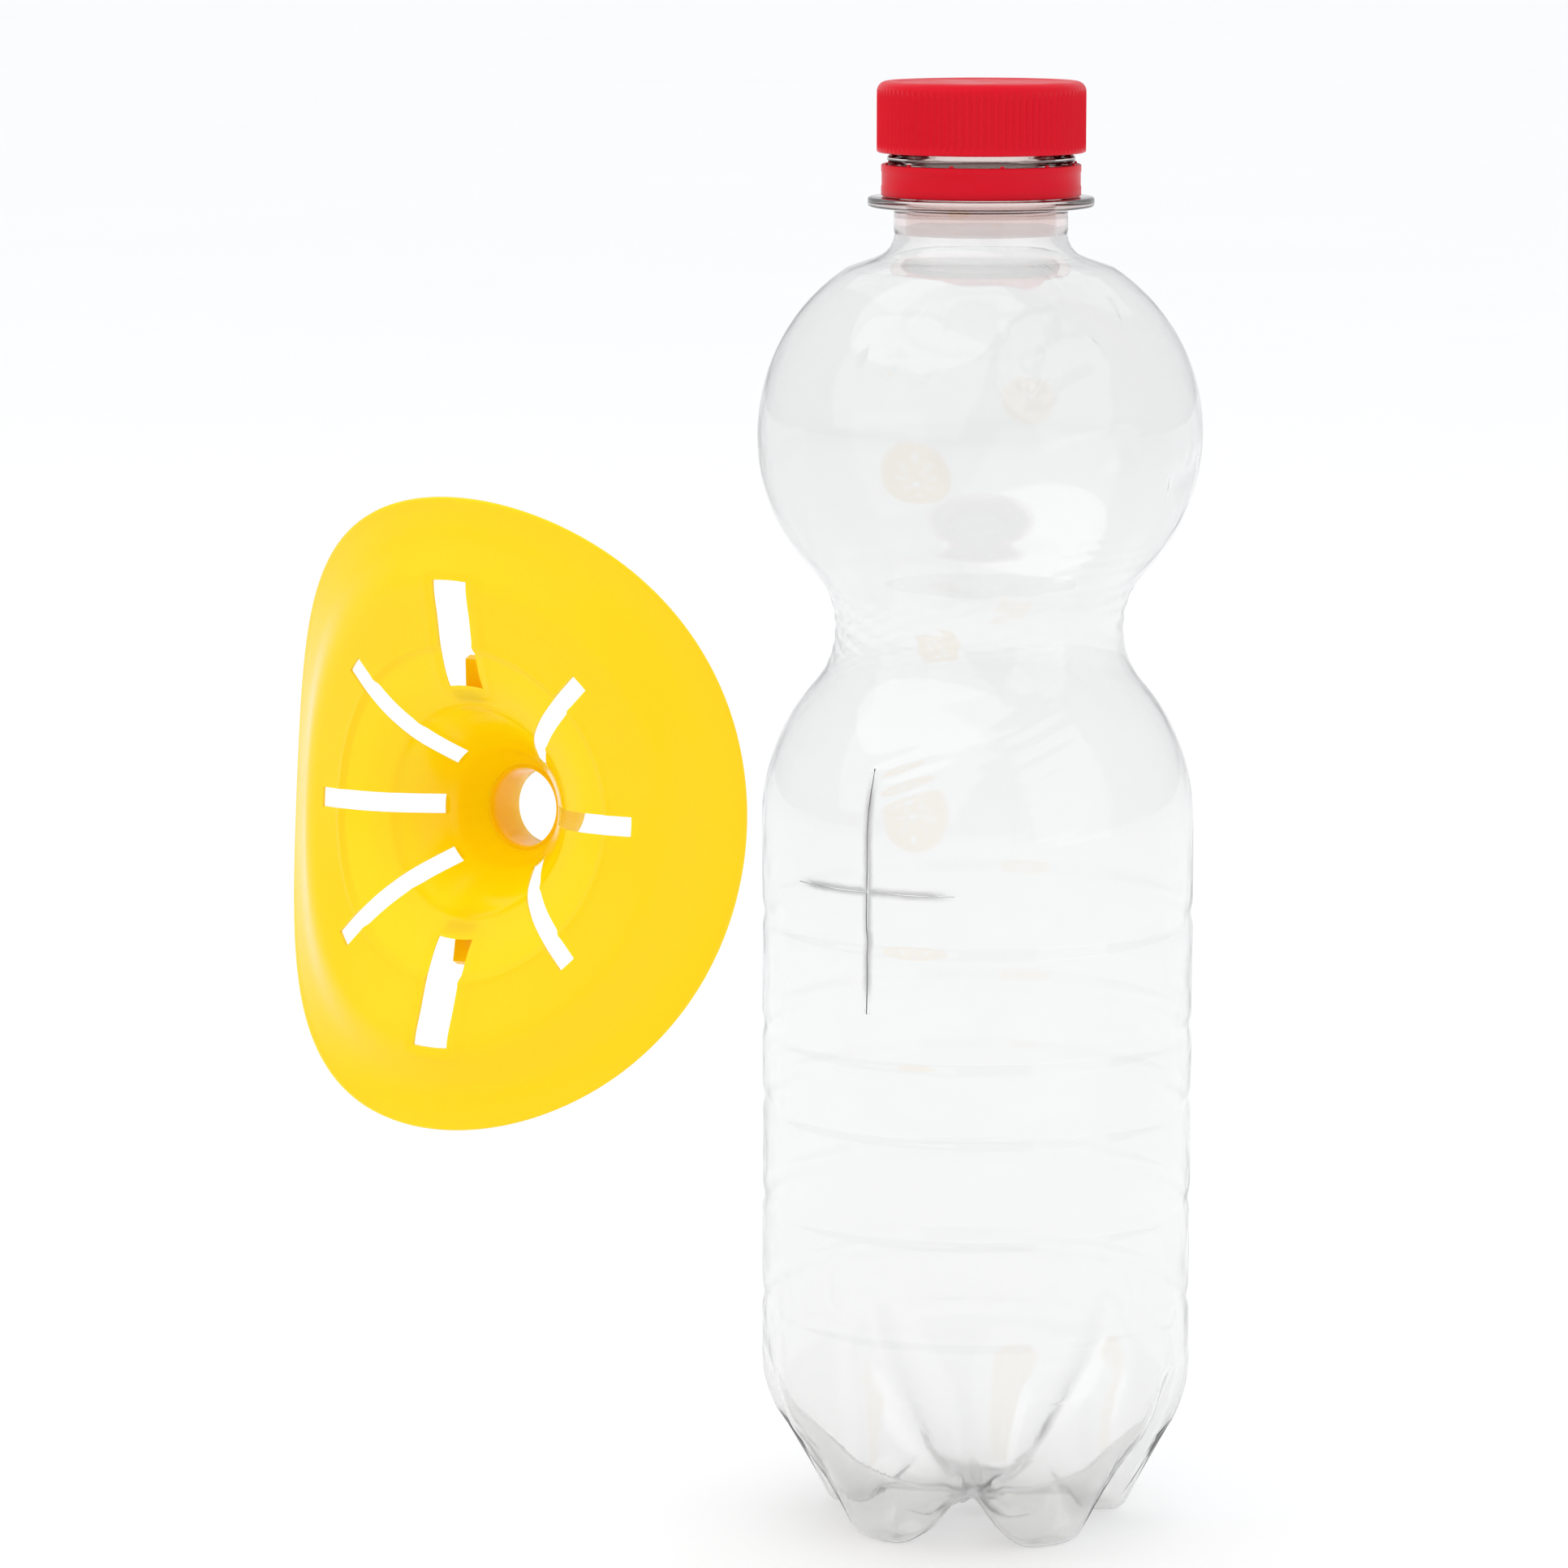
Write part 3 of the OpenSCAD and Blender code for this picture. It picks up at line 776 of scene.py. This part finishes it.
def funnel_rows():
    """The moulding's cross section as rows of (radius, depth or None for the dish, side), down
    the front into the nose, round its tip and back out behind the dish to the rim."""
    stops = [RIM_R - 0.5, 34.9, WIDE[1], NARROW[1], 21.5, 20.3, WIDE[0]]
    stops += [13.9, 12.7, NARROW[0], 7.6, 6.8, 5.6]
    radii = [stops[0]]
    for outer, inner in zip(stops, stops[1:]):
        count = max(1, round((outer - inner) / 0.45))
        radii += list(np.linspace(outer, inner, count + 1)[1:])
    front = [(r, None, "front") for r in radii]
    back = [(r, None, "back") for r in radii[::-1]]
    tube = HOLE_R + FUNNEL_WALL
    nose = [(5.15, 19.4), (HOLE_R + 0.08, 20.2), (HOLE_R, 21.2), (HOLE_R, 23.3)]
    nose += [(HOLE_R, NOSE_LEN - 0.4), (HOLE_R + 0.12, NOSE_LEN - 0.12), (HOLE_R + 0.4, NOSE_LEN)]
    nose += [(tube - 0.12, NOSE_LEN - 0.12)]
    nose += [(tube, NOSE_LEN - 0.4), (tube, 23.5), (tube, 21.5), (tube + 0.1, 20.4)]
    turns = np.radians(np.linspace(60, -60, 5))
    rim = [(RIM_R - 0.5 + 0.48 * math.cos(t), t, "rim") for t in turns]
    return front + [(r, d, "nose") for r, d in nose] + back + rim


def funnel_point_row(row):
    radius, depth, side = row
    angle = column_angles(radius)
    if side == "nose":
        depth = np.full(len(angle), depth)
    elif side == "rim":
        turn = depth
        bead_depth = dish_depth(RIM_R) + FUNNEL_WALL / 2 + 0.12 + 0.4 * math.sin(turn)
        depth = np.full(len(angle), bead_depth)
    else:
        slope = dish_depth(radius - 0.4) - dish_depth(radius + 0.4)
        thick = FUNNEL_WALL * math.sqrt(1 + (slope / 0.8) ** 2)
        lip = 0.22 * bell(radius - RIM_R, 0.9)
        depth = dish_depth(radius) + 0 * angle
        if side == "back":
            depth = depth + (thick + lip)
        else:
            depth = depth + (CREST_INSET - lip - funnel_relief(radius, angle))
    turns = np.radians(angle)
    across = radius * np.cos(turns) / BEND_R
    share = smooth(4, 12, radius)
    backwards = depth + share * BEND_R * (1 - np.cos(across))
    return np.stack([BEND_R * np.sin(across), backwards, radius * np.sin(turns)], -1)


def funnel_clip(sign):
    """A barbed clip behind the inner end of a wide slot"""
    roots = np.linspace(14.3, 15.6, 4)
    slope = dish_depth(roots - 0.4) - dish_depth(roots + 0.4)
    behind = dish_depth(roots) + FUNNEL_WALL * np.sqrt(1 + (slope / 0.8) ** 2) - 0.06
    outline = [(15.8, 8.6), (19.4, 8.2), (19.9, 9.2), (17.6, 11.1), (14.7, 10.4)]
    outline += list(zip(roots, behind))
    points = [(x, depth, sign * height) for x in (-2.3, 2.3) for height, depth in outline]
    count = len(outline)
    faces = [tuple(range(count))[::-1], tuple(range(count, 2 * count))]
    faces += [(i, (i + 1) % count, (i + 1) % count + count, i + count) for i in range(count)]
    return points, faces if sign > 0 else [f[::-1] for f in faces]


def funnel():
    rows = funnel_rows()
    points = np.vstack([funnel_point_row(row) for row in rows])
    columns = len(points) // len(rows)
    fronts = [k for k, row in enumerate(rows) if row[2] == "front"]
    backs = [k for k, row in enumerate(rows) if row[2] == "back"][::-1]
    twin = dict(zip(fronts, backs))

    def open_here(k, c):
        """True where a slot takes away the front between rows k and k + 1 at column c"""
        if k not in twin or k + 1 not in twin or c % (STRIP + FIELD) >= STRIP:
            return False
        inner, outer, _ = slot_of(c // (STRIP + FIELD))
        return rows[k][0] <= outer + 0.01 and rows[k + 1][0] >= inner - 0.01

    behind = {twin[k + 1]: k for k in fronts[:-1]}
    faces = []
    for k in range(len(rows)):
        after = (k + 1) % len(rows)
        for c in range(columns):
            near = k if k in twin else behind.get(k)
            if near is not None and open_here(near, c):
                continue
            d = (c + 1) % columns
            a, b = k * columns, after * columns
            faces.append((a + c, a + d, b + d, b + c))
    for k in fronts[:-1]:
        for c in range(columns):
            if not open_here(k, c):
                continue
            d = (c + 1) % columns
            a, b = k * columns, (k + 1) * columns
            e, f = twin[k + 1] * columns, twin[k] * columns
            if not open_here(k, c - 1):
                faces.append((a + c, b + c, e + c, f + c))
            if not open_here(k, d):
                faces.append((b + d, a + d, f + d, e + d))
            if not open_here(k - 1, c):
                faces.append((a + d, a + c, f + c, f + d))
            if not open_here(k + 1, c):
                faces.append((b + c, b + d, e + d, e + c))
    for sign in (1, -1):
        clip_points, clip_faces = funnel_clip(sign)
        start = len(points)
        points = np.vstack([points, clip_points])
        faces += [tuple(start + v for v in f) for f in clip_faces]

    entrance, way_out = mount("entrance")
    nose_way = -way_out
    crest = entrance - nose_way * NOSE_FROM_ENTRANCE
    up_way = np.cross(np.array([1.0, 0, 0]), nose_way)
    placed = crest + points @ np.array([[1.0, 0, 0], nose_way, up_way])
    made = piece("funnel_moulding", placed, faces, "funnel", [yellow_plastic()], 40)
    bevel = made.modifiers.new("edges", "BEVEL")
    bevel.width = 0.16 * MM
    bevel.segments = 2
    bevel.limit_method = "ANGLE"
    bevel.angle_limit = math.radians(50)
    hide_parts("funnel")


# ---------------------------------------------------------------- studio

CAMERA_AZIMUTH = 31.6
CAMERA_DISTANCE, CAMERA_SIDE, CAMERA_HEIGHT = 0.85, -0.02845, 0.243
CAMERA_PITCH = 8.89
CAMERA_LENS = 134.7


def camera_frame():
    turn = math.radians(CAMERA_AZIMUTH)
    right = Vector((math.cos(turn), math.sin(turn), 0))
    away = Vector((-math.sin(turn), math.cos(turn), 0))
    return right, away


def camera():
    right, away = camera_frame()
    data = bpy.data.cameras.new("camera")
    data.lens = CAMERA_LENS
    data.clip_end = 60
    made = bpy.data.objects.new("camera", data)
    bpy.context.scene.collection.objects.link(made)
    made.location = away * -CAMERA_DISTANCE + right * CAMERA_SIDE + Vector((0, 0, CAMERA_HEIGHT))
    made.rotation_euler = (math.radians(90 - CAMERA_PITCH), 0, math.radians(CAMERA_AZIMUTH))
    bpy.context.scene.camera = made


def floor():
    half = 14.0
    ends = [(-half, -half, 0), (half, -half, 0), (half, half, 0), (-half, half, 0)]
    mesh = bpy.data.meshes.new("floor")
    mesh.from_pydata(ends, [], [(0, 1, 2, 3)])
    shader = Shader("floor_paper", Specular_IOR_Level=0.15)
    deep, light = (0.93, 0.93, 0.93, 1), (0.95, 0.95, 0.95, 1)
    shader.feed("Base Color", shader.mix(shader.noise(3.0), deep, light))
    shader.feed("Roughness", shader.between(shader.noise(40), 0.3, 0.7, 0.7, 0.85))
    mesh.materials.append(shader.material)
    made = bpy.data.objects.new("floor", mesh)
    bpy.context.scene.collection.objects.link(made)


def softbox(name, azimuth, elevation, distance, size, power, target):
    """A soft area lamp. azimuth is measured from the camera's side, to the right"""
    right, away = camera_frame()
    turn, rise = math.radians(azimuth), math.radians(elevation)
    level = right * math.sin(turn) - away * math.cos(turn)
    way = level * math.cos(rise) + Vector((0, 0, math.sin(rise)))
    data = bpy.data.lights.new(name, "AREA")
    data.shape = "RECTANGLE"
    data.size, data.size_y = size
    data.energy = power
    made = bpy.data.objects.new(name, data)
    bpy.context.scene.collection.objects.link(made)
    made.location = target + way * distance
    made.rotation_euler = (-way).to_track_quat("-Z", "Y").to_euler()


def studio():
    world = bpy.data.worlds.new("studio")
    world.use_nodes = True
    world.node_tree.nodes["Background"].inputs["Color"].default_value = (0.97, 0.98, 1.0, 1)
    world.node_tree.nodes["Background"].inputs["Strength"].default_value = 0.79
    bpy.context.scene.world = world
    centre = Vector((0, -0.05, 0.11))
    softbox("key_box", -48, 38, 1.3, (2.1, 1.6), 3.1, centre)
    softbox("fill_box", 52, 22, 1.2, (1.0, 1.4), 1.3, centre)
    softbox("top_box", 170, 62, 1.2, (1.6, 1.2), 1.2, centre)
    sun = bpy.data.lights.new("overhead", "SUN")
    sun.energy = 0.95
    sun.angle = math.radians(70)
    made = bpy.data.objects.new("overhead", sun)
    bpy.context.scene.collection.objects.link(made)
    made.rotation_euler = (math.radians(18), math.radians(-14), 0)
    made.visible_glossy = False
    bpy.context.scene.view_settings.view_transform = "Standard"


red = red_plastic()
liner_look = liner_foam()
bend_line_look = bend_line()

camera()
studio()
floor()
bottle()
cap()
cap_liner()
tamper_band()
funnel()
